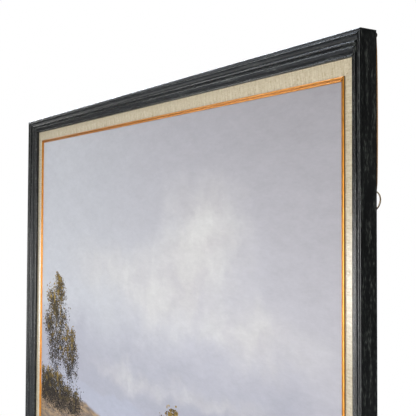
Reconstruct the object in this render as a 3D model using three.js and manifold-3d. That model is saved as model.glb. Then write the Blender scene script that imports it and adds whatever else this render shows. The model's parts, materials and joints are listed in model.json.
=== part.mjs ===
// Framed oil painting: a reeded black moulding, a linen-wrapped liner, a two-bead gold fillet and a
// canvas on board, with a paper dust cover, corner bumpers and two swinging D-ring hangers behind.
// Millimetres, +Z up. The picture faces -Y and the origin is the centre of the back.
import * as THREE from "three";
import { mergeVertices } from "three/addons/utils/BufferGeometryUtils.js";
import Module from "manifold-3d";

// Pieces that touch stand this far apart.
const GAP = 0.3;

// Canvas and the room around it.
const CANVAS = { width: 1219, height: 914, thickness: 0.7 };
const BOARD_THICKNESS = 3;
const CANVAS_INSET = 58.5;
const FRAME_WIDTH = CANVAS.width + 2 * CANVAS_INSET;
const FRAME_HEIGHT = CANVAS.height + 2 * CANVAS_INSET;

// Moulding section. An inset runs from the outer face towards the picture, a depth from the front backwards.
const MOULDING = { width: 31.7, depth: 29.6, rabbetInset: 24.2, rabbetDepth: 20.3, arris: 0.8 };
const EDGE_FLAT = { from: 0.8, to: 4.2, hollow: 1.3, innerDepth: 0.4 };
const REEDS = {
  outer: { inset: 5.6, crest: 0.6, radius: 1.0 },
  upper: { inset: 15.1, crest: 4.3, radius: 1.7 },
  middle: { inset: 21.2, crest: 7.8, radius: 1.6 },
  sight: { inset: 30.1, crest: 13.9, radius: 1.6 },
};
const SCOOP = { inset: 8.0, depth: 6.8 };
const UPPER_GROOVE = { inset: 18.2, depth: 10.4 };
const SLOPE_FOOT = { inset: 25.4, depth: 11.4 };
const SIGHT_GROOVE = { inset: 26.6, depth: 15.9 };

// Linen-wrapped liner, held under the moulding's lip.
const LINER = { edgeInset: 54.3, faceDepth: 20.6, edgeDepth: 23.2, bend: 0.6 };

// Gold fillet: two beads over a lip that laps the canvas, and a foot glued to the liner.
const FILLET = { outer: 54.6, inner: 61.9, footInner: 58.2, lipDepth: 24.0 };
const BEADS = {
  outer: { inset: 56.3, crest: 19.9, radius: 1.7 },
  inner: { inset: 60.3, crest: 22.3, radius: 1.6 },
};
const INNER_BEAD_START = THREE.MathUtils.degToRad(215);

// Back of the frame.
const COVER = { thickness: 0.4, margin: 1 };
// The stretch of the cover that is clear of hangers and bumpers, where a flat plate can lie.
const CLEAR_BACK = { halfWidth: 600, bottom: -480, top: 440 };
const BUMPER = { radius: 4.5, height: 3.3, shoulder: 1.2, inset: 5.8 };

// Hangers: a folded strap with one screw, and a D-ring whose bar turns in the fold.
const HANGER = { inset: 15.8, drop: 230, tilt: THREE.MathUtils.degToRad(13) };
const STRAP = { length: 12, width: 16, thickness: 1.6, corner: 3, foldRadius: 2.25, boreRadius: 1.4 };
const RING = { wire: 1.15, halfWidth: 14, straight: 5, corner: 3 };
const SCREW = { radius: 1.5, length: 13, headRadius: 3.6, headHeight: 2.3, reach: 7.2 };
const SCREW_RECESS = { width: 1, length: 4.2, depth: 1.1 };
const PIVOT_HEIGHT = GAP + STRAP.foldRadius;

// Facets on each kind of round.
const CURVE_STEPS = 8;
const ROUND_SIDES = 24;
const HOLE_SIDES = 16;
const WIRE_SIDES = 10;
const WIRE_STEPS = 64;

const BACK_DEPTH = MOULDING.depth + GAP + COVER.thickness;
const FRONT_Y = -BACK_DEPTH;
const PANEL_DEPTH = FILLET.lipDepth + GAP;
const BACK_OF_LINER = MOULDING.depth - GAP;
const HOLE_RADIUS = SCREW.radius + GAP;
const QUARTER_TURN = Math.PI / 2;

const wasm = await Module();
wasm.setup();

function solidFrom(geometry) {
  const bare = geometry.clone();
  bare.deleteAttribute("normal");
  bare.deleteAttribute("uv");
  const merged = mergeVertices(bare, 1e-4);
  const vertProperties = new Float32Array(merged.attributes.position.array);
  const triVerts = new Uint32Array(merged.index.array);
  return new wasm.Manifold(new wasm.Mesh({ numProp: 3, vertProperties, triVerts }));
}

function geometryFrom(solid) {
  const mesh = solid.getMesh();
  const geometry = new THREE.BufferGeometry();
  geometry.setAttribute("position", new THREE.BufferAttribute(mesh.vertProperties, 3));
  geometry.setIndex(new THREE.BufferAttribute(mesh.triVerts, 1));
  geometry.computeVertexNormals();
  return geometry;
}

function cut(geometry, ...tools) {
  const cutter = (solid, tool) => solid.subtract(solidFrom(tool));
  return geometryFrom(tools.reduce(cutter, solidFrom(geometry)));
}

// A straight hole along Y, centred on (x, z), between two Y values.
function holeTool(x, z, fromY, toY) {
  const tool = new THREE.CylinderGeometry(HOLE_RADIUS, HOLE_RADIUS, toY - fromY, HOLE_SIDES);
  return tool.translate(x, (fromY + toY) / 2, z);
}

// A reed's round, from its outer side over the crest to its inner side.
function addReed(shape, { inset, crest, radius }, endAngle = 2 * Math.PI, startAngle = Math.PI) {
  shape.absarc(inset, crest + radius, radius, startAngle, endAngle, false);
}

function mouldingSection() {
  const { outer, upper, middle, sight } = REEDS;
  const shape = new THREE.Shape();
  shape.moveTo(0, MOULDING.depth);
  shape.lineTo(0, MOULDING.arris);
  shape.absarc(MOULDING.arris, MOULDING.arris, MOULDING.arris, Math.PI, 1.5 * Math.PI, false);
  const flatMiddle = (EDGE_FLAT.from + EDGE_FLAT.to) / 2;
  shape.quadraticCurveTo(flatMiddle, EDGE_FLAT.hollow, EDGE_FLAT.to, EDGE_FLAT.innerDepth);
  addReed(shape, outer);
  shape.quadraticCurveTo(SCOOP.inset, SCOOP.depth, upper.inset - upper.radius, upper.crest + upper.radius);
  addReed(shape, upper);
  const middleStart = { inset: middle.inset - middle.radius, depth: middle.crest + middle.radius };
  shape.quadraticCurveTo(UPPER_GROOVE.inset, UPPER_GROOVE.depth, middleStart.inset, middleStart.depth);
  addReed(shape, middle, 1.75 * Math.PI);
  shape.lineTo(SLOPE_FOOT.inset, SLOPE_FOOT.depth);
  const sightStart = { inset: sight.inset - sight.radius, depth: sight.crest + sight.radius };
  shape.quadraticCurveTo(SIGHT_GROOVE.inset, SIGHT_GROOVE.depth, sightStart.inset, sightStart.depth);
  addReed(shape, sight);
  shape.lineTo(MOULDING.width, MOULDING.rabbetDepth);
  shape.lineTo(MOULDING.rabbetInset, MOULDING.rabbetDepth);
  shape.lineTo(MOULDING.rabbetInset, MOULDING.depth);
  return shape;
}

function linerSection() {
  const outerInset = MOULDING.rabbetInset + GAP;
  const shape = new THREE.Shape();
  shape.moveTo(outerInset, BACK_OF_LINER);
  shape.lineTo(outerInset, LINER.faceDepth);
  shape.lineTo(MOULDING.width, LINER.faceDepth);
  shape.lineTo(LINER.edgeInset - LINER.bend, LINER.edgeDepth);
  shape.quadraticCurveTo(LINER.edgeInset, LINER.edgeDepth, LINER.edgeInset, LINER.edgeDepth + LINER.bend);
  shape.lineTo(LINER.edgeInset, BACK_OF_LINER);
  return shape;
}

function filletSection() {
  const shape = new THREE.Shape();
  shape.moveTo(FILLET.outer, BACK_OF_LINER);
  addReed(shape, BEADS.outer);
  addReed(shape, BEADS.inner, 2 * Math.PI, INNER_BEAD_START);
  shape.lineTo(FILLET.inner, FILLET.lipDepth);
  shape.lineTo(FILLET.footInner, FILLET.lipDepth);
  shape.lineTo(FILLET.footInner, BACK_OF_LINER);
  return shape;
}

// One length of a section with both ends mitred at 45 degrees. X is the inset, Y the depth, Z the length.
function mitredLength(section, outerLength) {
  const settings = { depth: 1, bevelEnabled: false, curveSegments: CURVE_STEPS };
  const geometry = new THREE.ExtrudeGeometry(section, settings);
  const position = geometry.attributes.position;
  const endClearance = (GAP / 2) * Math.SQRT2;
  for (let i = 0; i < position.count; i++) {
    const end = position.getZ(i) < 0.5 ? -1 : 1;
    position.setZ(i, end * (outerLength / 2 - position.getX(i) - endClearance));
  }
  geometry.computeVertexNormals();
  return geometry;
}

function material(color, roughness, metalness = 0) {
  return new THREE.MeshStandardMaterial({ color, roughness, metalness });
}

function named(name, geometry, finish) {
  const mesh = new THREE.Mesh(geometry, finish);
  mesh.name = name;
  return mesh;
}

const finishes = {
  blackWood: () => material(0x24282b, 0.45),
  linen: () => material(0xcfc3a6, 0.9),
  gilding: () => material(0xd98f3e, 0.3, 0.9),
  paint: () => material(0xb4b2b8, 0.55),
  fibreboard: () => material(0x8a6a48, 0.85),
  kraftPaper: () => material(0xa47f57, 0.9),
  rubber: () => material(0x2e1c14, 0.8),
  steel: () => material(0xb0a692, 0.35, 1),
  brassedSteel: () => material(0xb98a4a, 0.35, 1),
};

const BANDS = [
  { name: "frame", section: mouldingSection(), finish: finishes.blackWood },
  { name: "liner", section: linerSection(), finish: finishes.linen },
  { name: "fillet", section: filletSection(), finish: finishes.gilding },
];

// Each side's group turns the left side's lengths round to it. hangerSign is where +Z lies along that length.
const SIDES = [
  { name: "left", turn: 0, half: FRAME_WIDTH / 2, length: FRAME_HEIGHT, hangerSign: 1 },
  { name: "top", turn: QUARTER_TURN, half: FRAME_HEIGHT / 2, length: FRAME_WIDTH },
  { name: "right", turn: 2 * QUARTER_TURN, half: FRAME_WIDTH / 2, length: FRAME_HEIGHT, hangerSign: -1 },
  { name: "bottom", turn: -QUARTER_TURN, half: FRAME_HEIGHT / 2, length: FRAME_WIDTH },
];

const hangerZ = FRAME_HEIGHT / 2 - HANGER.drop;
const screwInset = HANGER.inset - SCREW.reach * Math.cos(HANGER.tilt);
const screwZ = hangerZ - SCREW.reach * Math.sin(HANGER.tilt);

function sideGroup(side) {
  const group = new THREE.Group();
  group.rotation.y = side.turn;
  for (const band of BANDS) {
    let geometry = mitredLength(band.section, side.length);
    if (band.name === "frame" && side.hangerSign) {
      const deepest = MOULDING.depth - SCREW.length;
      const pilot = holeTool(screwInset, side.hangerSign * screwZ, deepest, BACK_DEPTH);
      geometry = cut(geometry, pilot);
    }
    const mesh = named(`${band.name}_${side.name}`, geometry, band.finish());
    mesh.position.set(-side.half, FRONT_Y, 0);
    group.add(mesh);
  }
  return group;
}

// A flat sheet across the frame, from one depth to a deeper one.
function sheet(margin, depth, thickness) {
  const width = FRAME_WIDTH - 2 * margin;
  const height = FRAME_HEIGHT - 2 * margin;
  return new THREE.BoxGeometry(width, thickness, height).translate(0, FRONT_Y + depth + thickness / 2, 0);
}

function picture() {
  const group = new THREE.Group();
  const canvas = sheet(CANVAS_INSET, PANEL_DEPTH, CANVAS.thickness);
  const boardDepth = PANEL_DEPTH + CANVAS.thickness + GAP;
  const board = sheet(CANVAS_INSET, boardDepth, BOARD_THICKNESS);
  group.add(named("canvas", canvas, finishes.paint()));
  group.add(named("board", board, finishes.fibreboard()));
  return group;
}

// A block over the cover's clear stretch, so many times as thick as the paper.
function clearBlock(layers) {
  const { halfWidth, bottom, top } = CLEAR_BACK;
  const block = new THREE.BoxGeometry(2 * halfWidth, layers * COVER.thickness, top - bottom);
  return block.translate(0, -COVER.thickness / 2, (top + bottom) / 2);
}

// The cover's clear stretch stays a facet of its own, which the row's wall mount stands on.
function dustCover() {
  const paper = sheet(COVER.margin, MOULDING.depth + GAP, COVER.thickness);
  const screwX = FRAME_WIDTH / 2 - screwInset;
  const holes = [-screwX, screwX].map((x) => holeTool(x, screwZ, -COVER.thickness - 1, 1));
  const border = solidFrom(cut(paper, ...holes, clearBlock(3)));
  const cover = border.add(solidFrom(clearBlock(1)));
  return named("dust_cover", geometryFrom(cover), finishes.kraftPaper());
}

function bumperGeometry() {
  const { radius, height, shoulder } = BUMPER;
  const half = new THREE.Path();
  half.moveTo(0, 0);
  half.lineTo(radius, 0);
  half.lineTo(radius, height - shoulder);
  half.quadraticCurveTo(radius, height, radius - shoulder, height);
  half.lineTo(0, height);
  return new THREE.LatheGeometry(half.getPoints(CURVE_STEPS / 2), ROUND_SIDES);
}

function bumpers() {
  const group = new THREE.Group();
  for (const [across, x] of [["left", -1], ["right", 1]]) {
    for (const [upDown, z] of [["bottom", -1], ["top", 1]]) {
      const mesh = named(`bumper_${upDown}_${across}`, bumperGeometry(), finishes.rubber());
      const cornerX = FRAME_WIDTH / 2 - BUMPER.inset;
      const cornerZ = FRAME_HEIGHT / 2 - BUMPER.inset;
      mesh.position.set(x * cornerX, GAP, z * cornerZ);
      group.add(mesh);
    }
  }
  return group;
}

// The strap seen from its edge: a flat double layer that opens into the fold round the ring's bar.
function strapSection() {
  const top = GAP + STRAP.thickness;
  const meeting = Math.PI + Math.asin((PIVOT_HEIGHT - top) / STRAP.foldRadius);
  const shape = new THREE.Shape();
  shape.moveTo(-STRAP.length, GAP);
  shape.lineTo(0, GAP);
  shape.absarc(0, PIVOT_HEIGHT, STRAP.foldRadius, -QUARTER_TURN, meeting, false);
  shape.lineTo(-STRAP.length, top);
  const bore = new THREE.Path();
  bore.absarc(0, PIVOT_HEIGHT, STRAP.boreRadius, 0, 2 * Math.PI, true);
  shape.holes.push(bore);
  return shape;
}

// The strap seen from behind: square at the fold, rounded at the screw's end.
function strapOutline() {
  const half = STRAP.width / 2;
  const back = -STRAP.length;
  const shape = new THREE.Shape();
  shape.moveTo(STRAP.foldRadius + 1, -half);
  shape.lineTo(STRAP.foldRadius + 1, half);
  shape.lineTo(back + STRAP.corner, half);
  shape.absarc(back + STRAP.corner, half - STRAP.corner, STRAP.corner, QUARTER_TURN, Math.PI, false);
  shape.absarc(back + STRAP.corner, STRAP.corner - half, STRAP.corner, Math.PI, 1.5 * Math.PI, false);
  return shape;
}

function strapGeometry() {
  const settings = { depth: STRAP.width, bevelEnabled: false, curveSegments: 2 * CURVE_STEPS };
  const folded = new THREE.ExtrudeGeometry(strapSection(), settings).translate(0, 0, -STRAP.width / 2);
  const tall = 2 * PIVOT_HEIGHT + 2 * STRAP.foldRadius;
  const upright = { depth: tall, bevelEnabled: false, curveSegments: CURVE_STEPS };
  const blank = new THREE.ExtrudeGeometry(strapOutline(), upright).rotateX(QUARTER_TURN);
  blank.translate(0, tall - PIVOT_HEIGHT, 0);
  const trimmed = geometryFrom(solidFrom(folded).intersect(solidFrom(blank)));
  return cut(trimmed, holeTool(-SCREW.reach, 0, -1, GAP + STRAP.thickness + 1));
}

// The ring's centre line: bar, two tight corners, two straight sides and a half-round end.
class RingLine extends THREE.Curve {
  constructor() {
    super();
    const { halfWidth, straight, corner } = RING;
    this.path = new THREE.Path();
    this.path.moveTo(0, 0);
    this.path.lineTo(halfWidth - corner, 0);
    this.path.absarc(halfWidth - corner, corner, corner, -QUARTER_TURN, 0, false);
    this.path.lineTo(halfWidth, straight);
    this.path.absarc(0, straight, halfWidth, 0, Math.PI, false);
    this.path.lineTo(-halfWidth, corner);
    this.path.absarc(corner - halfWidth, corner, corner, Math.PI, 1.5 * Math.PI, false);
    this.path.lineTo(0, 0);
  }

  getPoint(t, target = new THREE.Vector3()) {
    const point = this.path.getPointAt(t % 1);
    return target.set(0, PIVOT_HEIGHT + point.y, point.x);
  }
}

function ringGeometry() {
  return new THREE.TubeGeometry(new RingLine(), WIRE_STEPS, RING.wire, WIRE_SIDES, true);
}

function screwGeometry() {
  const seat = GAP + STRAP.thickness + GAP;
  const tip = GAP - COVER.thickness - GAP - SCREW.length;
  const side = new THREE.Path();
  side.moveTo(0, tip);
  side.lineTo(SCREW.radius, tip + 2 * SCREW.radius);
  side.lineTo(SCREW.radius, seat);
  side.lineTo(SCREW.headRadius, seat);
  side.lineTo(SCREW.headRadius, seat + SCREW.headHeight / 3);
  side.quadraticCurveTo(SCREW.headRadius, seat + SCREW.headHeight, 0, seat + SCREW.headHeight);
  const body = new THREE.LatheGeometry(side.getPoints(CURVE_STEPS / 2), ROUND_SIDES);
  const { width, length, depth } = SCREW_RECESS;
  const floor = seat + SCREW.headHeight - depth;
  const slot = () => new THREE.BoxGeometry(length, 2 * depth, width).translate(0, floor + depth, 0);
  const recessed = cut(body, slot(), slot().rotateY(QUARTER_TURN));
  return recessed.translate(-SCREW.reach, 0, 0);
}

// A hanger in its own group: X points from the screw to the ring's bar, Z along the bar.
function hanger(name, x, turn) {
  const group = new THREE.Group();
  group.position.set(x, 0, hangerZ);
  group.rotation.y = turn;
  group.add(named(`hanger_strap_${name}`, strapGeometry(), finishes.steel()));
  group.add(named(`hanger_ring_${name}`, ringGeometry(), finishes.steel()));
  group.add(named(`hanger_screw_${name}`, screwGeometry(), finishes.brassedSteel()));
  return group;
}

const hangerX = FRAME_WIDTH / 2 - HANGER.inset;
const painting = new THREE.Group();
painting.add(...SIDES.map(sideGroup));
painting.add(picture(), dustCover(), bumpers());
painting.add(hanger("left", -hangerX, -HANGER.tilt));
painting.add(hanger("right", hangerX, Math.PI + HANGER.tilt));

export default painting;
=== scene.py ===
"""A framed oil painting: reeded black moulding, linen liner, gilt fillet and a painted landscape.

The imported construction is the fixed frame. The wooden lengths, the fillet, the dust cover, the bumpers and
the hangers are modelled here at the same sizes with their true rounds, and the canvas gets its paint.
Lengths are metres, except that a name ending in _mm, a Section's points and a PaintPlace are millimetres.
"""

import json
import logging
import math
import random
from dataclasses import dataclass, field
from enum import Enum

import bmesh
import bpy
import numpy as np
from mathutils import Matrix, Vector, noise


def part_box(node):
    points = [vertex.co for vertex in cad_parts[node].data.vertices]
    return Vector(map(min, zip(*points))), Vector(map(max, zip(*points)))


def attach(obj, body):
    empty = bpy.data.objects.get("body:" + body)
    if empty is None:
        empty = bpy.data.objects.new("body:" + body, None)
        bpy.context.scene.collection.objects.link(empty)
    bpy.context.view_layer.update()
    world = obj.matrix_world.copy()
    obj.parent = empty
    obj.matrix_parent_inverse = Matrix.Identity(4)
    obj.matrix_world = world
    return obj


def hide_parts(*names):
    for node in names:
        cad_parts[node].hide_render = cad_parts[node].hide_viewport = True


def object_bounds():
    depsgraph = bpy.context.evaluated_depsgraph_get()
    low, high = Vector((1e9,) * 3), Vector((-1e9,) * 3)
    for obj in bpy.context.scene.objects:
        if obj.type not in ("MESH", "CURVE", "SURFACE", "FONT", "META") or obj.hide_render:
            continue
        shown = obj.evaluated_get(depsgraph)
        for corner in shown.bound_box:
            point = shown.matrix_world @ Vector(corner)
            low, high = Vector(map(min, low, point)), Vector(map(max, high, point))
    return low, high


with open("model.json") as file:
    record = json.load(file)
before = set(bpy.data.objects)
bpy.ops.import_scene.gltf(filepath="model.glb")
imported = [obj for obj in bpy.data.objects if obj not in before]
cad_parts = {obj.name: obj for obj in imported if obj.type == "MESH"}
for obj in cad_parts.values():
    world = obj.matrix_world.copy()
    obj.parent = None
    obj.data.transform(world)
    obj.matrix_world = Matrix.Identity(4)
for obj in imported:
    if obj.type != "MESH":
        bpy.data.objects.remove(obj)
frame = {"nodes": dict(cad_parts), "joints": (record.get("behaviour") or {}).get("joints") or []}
CAD_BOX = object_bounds()
CANVAS_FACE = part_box("canvas")[0][1]

MM = 0.001
WHITE = (1.0, 1.0, 1.0, 1.0)

log = logging.getLogger("painting")


# ---------------------------------------------------------------- small helpers


def linear(hex_colour: str) -> tuple[float, float, float, float]:
    """Turns an sRGB hex colour into linear light.

    Args:
        hex_colour: Six hex digits, such as "24282b".

    Returns:
        Red, green, blue and an alpha of 1.
    """
    shares = [int(hex_colour[i : i + 2], 16) / 255 for i in (0, 2, 4)]
    bent = [s / 12.92 if s <= 0.04045 else ((s + 0.055) / 1.055) ** 2.4 for s in shares]
    return (*bent, 1.0)


def add(tree: bpy.types.NodeTree, kind: str, inputs: dict | None = None, **settings) -> bpy.types.Node:
    """Adds a node with its settings, and sets or links its inputs.

    Args:
        tree: The node tree it goes into.
        kind: The node's type, such as "ShaderNodeTexNoise".
        inputs: Input name or number to a value, or to the socket that feeds it.
        **settings: Attributes of the node.

    Returns:
        The new node.
    """
    made = tree.nodes.new(kind)
    for name, value in settings.items():
        setattr(made, name, value)
    for name, value in (inputs or {}).items():
        socket = made.inputs[name]
        if isinstance(value, bpy.types.NodeSocket):
            tree.links.new(value, socket)
        else:
            socket.default_value = value
    return made


def ramp(
    tree: bpy.types.NodeTree, factor: bpy.types.NodeSocket, stops: dict[float, str]
) -> bpy.types.NodeSocket:
    """Colours a value by stops.

    Args:
        tree: The node tree.
        factor: The value, from 0 to 1.
        stops: Position to sRGB hex colour, in rising order.

    Returns:
        The colour socket.
    """
    made = add(tree, "ShaderNodeValToRGB", {"Fac": factor})
    elements = made.color_ramp.elements
    while len(elements) < len(stops):
        elements.new(1.0)
    for element, (position, colour) in zip(elements, stops.items()):
        element.position = position
        element.color = linear(colour)
    return made.outputs["Color"]


# ---------------------------------------------------------------- finishes


@dataclass(frozen=True)
class Finish:
    """A surface finish, built as one material."""

    name: str
    roughness: float
    metallic: float = 0.0

    def material(self) -> bpy.types.Material:
        """Builds the material with its shader and its pattern.

        Returns:
            The finished material.
        """
        made = bpy.data.materials.new(self.name)
        made.use_nodes = True
        tree = made.node_tree
        shader = tree.nodes["Principled BSDF"]
        shader.inputs["Roughness"].default_value = self.roughness
        shader.inputs["Metallic"].default_value = self.metallic
        self.pattern(tree, shader)
        return made

    def pattern(self, tree: bpy.types.NodeTree, shader: bpy.types.Node) -> None:
        """Adds the colour and relief nodes.

        Args:
            tree: The material's node tree.
            shader: Its Principled shader.
        """
        raise NotImplementedError


def bump(
    tree: bpy.types.NodeTree, shader: bpy.types.Node, height: bpy.types.NodeSocket, depth: float
) -> None:
    """Feeds a height to the shader's normal.

    Args:
        tree: The node tree.
        shader: The Principled shader.
        height: The height, from 0 to 1.
        depth: What a height of 1 stands for, in metres.
    """
    relief = add(tree, "ShaderNodeBump", {"Height": height, "Distance": depth, "Strength": 1.0})
    tree.links.new(relief.outputs["Normal"], shader.inputs["Normal"])


def stretched(tree: bpy.types.NodeTree, across: float, along: float) -> bpy.types.NodeSocket:
    """UV coordinates counted in pattern units, for marks that are longer one way.

    Args:
        tree: The node tree.
        across: The size of a mark across the length, in metres.
        along: The size of a mark along the length, in metres.

    Returns:
        The vector socket.
    """
    uv = add(tree, "ShaderNodeTexCoord").outputs["UV"]
    scale = (1 / across, 1 / along, 1.0)
    return add(tree, "ShaderNodeMapping", {"Vector": uv, "Scale": scale}).outputs["Vector"]


@dataclass(frozen=True)
class StainedOak(Finish):
    """Open-grained oak, stained black: the crests are buffed and shine cool, the hollows stay matte and dark,
    and short grey dashes run along the pores."""

    name: str = "black_stained_oak"
    roughness: float = 0.2
    matte: float = 0.5
    pore_width: float = 0.6 * MM
    pore_length: float = 9 * MM
    figure_width: float = 5 * MM
    figure_length: float = 60 * MM
    relief: float = 0.012 * MM

    def pattern(self, tree: bpy.types.NodeTree, shader: bpy.types.Node) -> None:
        """Adds pores, a broader figure and their relief, and the buffing of the crests.

        Args:
            tree: The material's node tree.
            shader: Its Principled shader.
        """
        pores = add(
            tree,
            "ShaderNodeTexNoise",
            {"Vector": stretched(tree, self.pore_width, self.pore_length), "Scale": 1.0, "Detail": 4.0},
        )
        figure = add(
            tree,
            "ShaderNodeTexNoise",
            {"Vector": stretched(tree, self.figure_width, self.figure_length), "Scale": 1.0, "Detail": 2.0},
        )
        both = add(
            tree,
            "ShaderNodeMath",
            {0: figure.outputs["Fac"], 1: 0.5, 2: pores.outputs["Fac"]},
            operation="MULTIPLY_ADD",
        )
        tone = add(tree, "ShaderNodeMapRange", {"Value": both.outputs[0], "From Min": 0.55, "From Max": 1.0})
        colour = ramp(tree, tone.outputs[0], {0.0: "010202", 0.5: "040606", 0.66: "161a19", 0.9: "666963"})
        tree.links.new(colour, shader.inputs["Base Color"])
        buffed = add(tree, "ShaderNodeAttribute", attribute_name="buffed").outputs["Fac"]
        rough = add(
            tree,
            "ShaderNodeMapRange",
            {"Value": buffed, "To Min": self.matte, "To Max": self.roughness},
        )
        tree.links.new(rough.outputs[0], shader.inputs["Roughness"])
        bump(tree, shader, both.outputs[0], self.relief)


@dataclass(frozen=True)
class SlubLinen(Finish):
    """Unbleached slub linen glued round the liner: a close plain weave with thicker threads across it."""

    name: str = "slub_linen"
    roughness: float = 0.82
    thread: float = 0.7 * MM
    slub_spacing: float = 3.2 * MM
    slub_length: float = 26 * MM
    relief: float = 0.06 * MM

    def pattern(self, tree: bpy.types.NodeTree, shader: bpy.types.Node) -> None:
        """Adds the plain weave and the slubs that run across each length.

        Args:
            tree: The material's node tree.
            shader: Its Principled shader.
        """
        slubs = add(
            tree,
            "ShaderNodeTexNoise",
            {"Vector": stretched(tree, self.slub_length, self.slub_spacing), "Scale": 1.0, "Detail": 4.0},
        )
        wefts = add(
            tree,
            "ShaderNodeTexNoise",
            {"Vector": stretched(tree, 9 * self.thread, self.thread), "Scale": 1.0, "Detail": 1.0},
        )
        warps = add(
            tree,
            "ShaderNodeTexNoise",
            {"Vector": stretched(tree, self.thread, 14 * self.thread), "Scale": 1.0, "Detail": 1.0},
        )
        weave = add(
            tree,
            "ShaderNodeMath",
            {0: wefts.outputs["Fac"], 1: warps.outputs["Fac"]},
            operation="ADD",
        )
        cloth = add(
            tree,
            "ShaderNodeMath",
            {0: slubs.outputs["Fac"], 1: 1.1, 2: weave.outputs[0]},
            operation="MULTIPLY_ADD",
        )
        tone = add(
            tree,
            "ShaderNodeMapRange",
            {"Value": cloth.outputs[0], "From Min": 1.1, "From Max": 2.0},
        )
        colour = ramp(tree, tone.outputs[0], {0.0: "a08c66", 0.35: "c4b494", 0.7: "d3c6a8", 1.0: "e2d8c0"})
        tree.links.new(colour, shader.inputs["Base Color"])
        shader.inputs["Coat Weight"].default_value = 1.0
        shader.inputs["Coat Roughness"].default_value = 0.26
        bump(tree, shader, cloth.outputs[0], self.relief)


@dataclass(frozen=True)
class GoldLeaf(Finish):
    """Warm gilding over red bole, mottled from deeper to brighter orange as laid leaf is."""

    name: str = "gold_leaf"
    roughness: float = 0.35
    metallic: float = 1.0
    mottle: float = 9 * MM
    relief: float = 0.004 * MM

    def pattern(self, tree: bpy.types.NodeTree, shader: bpy.types.Node) -> None:
        """Adds the slight mottling of laid leaf.

        Args:
            tree: The material's node tree.
            shader: Its Principled shader.
        """
        leaf = add(
            tree,
            "ShaderNodeTexNoise",
            {"Vector": stretched(tree, self.mottle / 4, self.mottle), "Scale": 1.0, "Detail": 5.0},
        )
        colour = ramp(tree, leaf.outputs["Fac"], {0.3: "b87422", 0.5: "c5812d", 0.7: "d08f3a"})
        tree.links.new(colour, shader.inputs["Base Color"])
        shader.inputs["Coat Weight"].default_value = 0.4
        shader.inputs["Coat Roughness"].default_value = 0.18
        bump(tree, shader, leaf.outputs["Fac"], self.relief)


@dataclass(frozen=True)
class KraftPaper(Finish):
    """Brown kraft paper: short fibres and a dull, slightly calendered face."""

    name: str = "kraft_paper"
    roughness: float = 0.78
    fibre: float = 1.4 * MM
    cloud: float = 30 * MM

    def pattern(self, tree: bpy.types.NodeTree, shader: bpy.types.Node) -> None:
        """Adds fibres and the cloudy tone of unbleached pulp.

        Args:
            tree: The material's node tree.
            shader: Its Principled shader.
        """
        place = add(tree, "ShaderNodeTexCoord").outputs["Object"]
        fibres = add(
            tree,
            "ShaderNodeTexNoise",
            {"Vector": place, "Scale": 1 / self.fibre, "Detail": 4.0, "Roughness": 0.7},
        )
        clouds = add(tree, "ShaderNodeTexNoise", {"Vector": place, "Scale": 1 / self.cloud, "Detail": 3.0})
        both = add(
            tree,
            "ShaderNodeMath",
            {0: fibres.outputs["Fac"], 1: clouds.outputs["Fac"]},
            operation="ADD",
        )
        tone = add(tree, "ShaderNodeMapRange", {"Value": both.outputs[0], "From Min": 0.7, "From Max": 1.3})
        colour = ramp(tree, tone.outputs[0], {0.0: "98703f", 0.5: "a87d4c", 1.0: "b58a58"})
        tree.links.new(colour, shader.inputs["Base Color"])
        bump(tree, shader, fibres.outputs["Fac"], 0.05 * MM)


@dataclass(frozen=True)
class Speckled(Finish):
    """A plain finish with fine grit or grain in its colour and its surface."""

    dark: str = "000000"
    light: str = "ffffff"
    grain: float = 1.0 * MM
    relief: float = 0.03 * MM

    def pattern(self, tree: bpy.types.NodeTree, shader: bpy.types.Node) -> None:
        """Adds one grain that sets both tone and relief.

        Args:
            tree: The material's node tree.
            shader: Its Principled shader.
        """
        place = add(tree, "ShaderNodeTexCoord").outputs["Object"]
        grain = add(tree, "ShaderNodeTexNoise", {"Vector": place, "Scale": 1 / self.grain, "Detail": 4.0})
        colour = ramp(tree, grain.outputs["Fac"], {0.3: self.dark, 0.7: self.light})
        tree.links.new(colour, shader.inputs["Base Color"])
        bump(tree, shader, grain.outputs["Fac"], self.relief)


# Painted shade: a dark brown laid on the fillet's outer wall, where a shadow line falls between the gold and
# the linen.
WALL_SHADE = Speckled("bare_bole", 0.8, dark="5c4a34", light="75603f", grain=1.5 * MM)
# Hardboard of pressed wood fibre: an even brown with fine flecks.
HARDBOARD = Speckled("hardboard", 0.7, dark="6a4a2c", light="8f6b45", grain=1.2 * MM)
# Moulded rubber, aged brown: dull, with a faint skin.
RUBBER = Speckled("moulded_rubber", 0.62, dark="20120c", light="3a241a", grain=0.8 * MM)
# Zinc-plated steel with a warm passivated film: soft reflections.
ZINC_STEEL = Speckled(
    "zinc_plated_steel", 0.34, 1.0, dark="9c8f7a", light="c2b59c", grain=0.9 * MM, relief=0.01 * MM
)
# Brass-plated steel: yellow and a little brighter than the straps.
BRASS_PLATE = Speckled(
    "brass_plated_steel", 0.3, 1.0, dark="a87c34", light="cfa356", grain=0.9 * MM, relief=0.01 * MM
)
# Matt painted studio floor.
PALE_FLOOR = Speckled("pale_floor", 0.9, dark="e6e6e6", light="eeeeee", grain=40 * MM, relief=0.0)


# ---------------------------------------------------------------- pieces


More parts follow.
